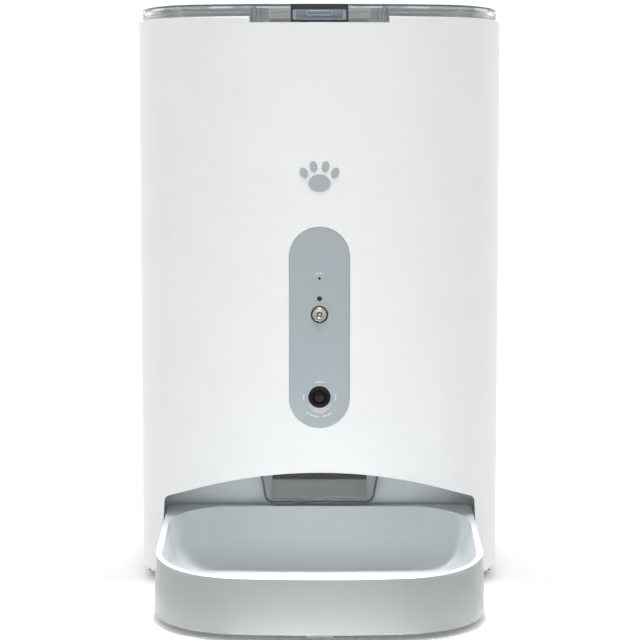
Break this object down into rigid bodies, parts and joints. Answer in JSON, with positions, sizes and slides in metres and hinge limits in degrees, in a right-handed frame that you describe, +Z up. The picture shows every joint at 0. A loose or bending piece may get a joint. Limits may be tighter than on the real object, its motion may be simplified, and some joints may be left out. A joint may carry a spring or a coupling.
{
  "type": "automatic pet feeder",
  "caption": "Upright dispenser for dry pet food: hinged clear lid, hopper, portion rotor and chute, camera panel, and a pull-out bowl under an arch.",
  "frame": {"origin": "on the table under the middle of the object's bounding box", "axes": "+Z up, -Y out of the front, +X to the right seen from the front"},
  "size_m": [0.24, 0.31, 0.38],
  "materials": {
    "white_shell": "satin white moulded ABS",
    "grey_panel": "satin grey moulded plastic",
    "dark_base": "fine textured dark plastic",
    "badge_print": "grey inlay",
    "pin_steel": "drawn steel",
    "hopper_smoke": "smoked translucent",
    "smoked_clear": "smoked clear, polished",
    "flap_clear": "smoked clear",
    "seal_silicone": "soft silicone",
    "white_inner": "white moulded",
    "latch_dark": "dark gloss",
    "latch_push": "ribbed dark",
    "spring_steel": "bright wire",
    "light_black": "dark light window",
    "black_part": "black moulded",
    "button_metal": "turned metal face",
    "board_green": "solder mask",
    "lens_glass": "coated lens",
    "bay_grey": "satin grey",
    "chute_grey": "satin warm grey",
    "rotor_grey": "soft grey",
    "gear_white": "acetal",
    "motor_can": "zinc plated",
    "gearbox_grey": "moulded grey",
    "cell_jacket": "plain jacket",
    "service_white": "satin white",
    "screw_steel": "zinc plated",
    "bowl_grey": "glossy grey moulded",
    "foot_grey": "soft grey foot",
    "wire_red": "insulated wire"
  },
  "bodies": {
    "housing": {"base_plate": "dark_base", "battery_box": "white_inner", "battery_cells": "cell_jacket", "battery_contacts": "spring_steel", "body_feet": "dark_base", "bowl_bay": "bay_grey", "button_bezel": "black_part", "button_board": "board_green", "button_switch": "black_part", "camera_barrel": "black_part", "camera_board": "board_green", "camera_cup": "white_inner", "camera_lens": "lens_glass", "chute": "chute_grey", "compound_pin": "pin_steel", "control_panel": "grey_panel", "cover_screws": "screw_steel", "drive_motor": "motor_can", "encoder_sensor": "black_part", "feed_deck": "white_inner", "gearbox_lower": "gearbox_grey", "gearbox_upper": "gearbox_grey", "hinge_pins": "pin_steel", "hopper": "hopper_smoke", "main_board": "board_green", "microphone": "black_part", "outer_shell": "white_shell", "outlet_baffle": "white_inner", "paw_badge": "badge_print", "power_inlet": "black_part", "service_panel": "service_white", "speaker": "black_part", "status_light": "light_black", "wires": "wire_red"},
    "lid": {"lid": "smoked_clear", "lid_seal": "seal_silicone", "desiccant_box": "white_inner", "desiccant_cap": "white_inner", "latch_frame": "latch_dark", "latch_spring": "spring_steel"},
    "latch": {"latch_button": "latch_push"},
    "button": {"feed_button": "button_metal"},
    "flap": {"flap": "flap_clear", "flap_pin": "pin_steel"},
    "rotor": {"portion_rotor": "rotor_grey", "agitator": "rotor_grey", "output_shaft": "pin_steel", "output_gear": "gear_white", "encoder_disc": "gear_white"},
    "wheel": {"compound_gear": "gear_white"},
    "pinion": {"motor_pinion": "gear_white", "motor_shaft": "pin_steel"},
    "bowl": {"bowl": "bowl_grey", "bowl_feet": "foot_grey"},
    "battery_door": {"battery_door": "dark_base"}
  },
  "joints": [
    {"name": "lid_hinge", "type": "hinge", "parent": "housing", "child": "lid", "pos_m": [0, 0.1504, 0.3764], "axis": [-1, 0, 0], "range_deg": [0, 95]},
    {"name": "latch_press", "type": "slide", "parent": "lid", "child": "latch", "axis": [0, 1, 0], "range_m": [0, 0.002], "stiffness_N_per_m": 400, "deforming": ["latch_spring"]},
    {"name": "button_press", "type": "slide", "parent": "housing", "child": "button", "axis": [0, 1, 0], "range_m": [0, 0.0008], "stiffness_N_per_m": 1500},
    {"name": "flap_swing", "type": "hinge", "parent": "housing", "child": "flap", "pos_m": [0, 0.0053, 0.081], "axis": [-1, 0, 0], "range_deg": [0, 60]},
    {"name": "rotor_spin", "type": "hinge", "parent": "housing", "child": "rotor", "pos_m": [0, 0.085, 0.1], "axis": [0, 0, 1], "continuous": true},
    {"name": "wheel_spin", "type": "hinge", "parent": "housing", "child": "wheel", "pos_m": [0.02252, 0.098, 0.07], "axis": [0, 0, 1], "continuous": true},
    {"name": "pinion_spin", "type": "hinge", "parent": "housing", "child": "pinion", "pos_m": [0.01052, 0.11878, 0.07], "axis": [0, 0, 1], "continuous": true},
    {"name": "bowl_slide", "type": "slide", "parent": "housing", "child": "bowl", "axis": [0, -1, 0], "range_m": [0, 0.14]},
    {"name": "battery_door_slide", "type": "slide", "parent": "housing", "child": "battery_door", "axis": [0, 1, 0], "range_m": [0, 0.066]}
  ],
  "couplings": [
    {"joint": "wheel_spin", "follows": "rotor_spin", "ratio": -3.3333},
    {"joint": "pinion_spin", "follows": "rotor_spin", "ratio": 10}
  ]
}
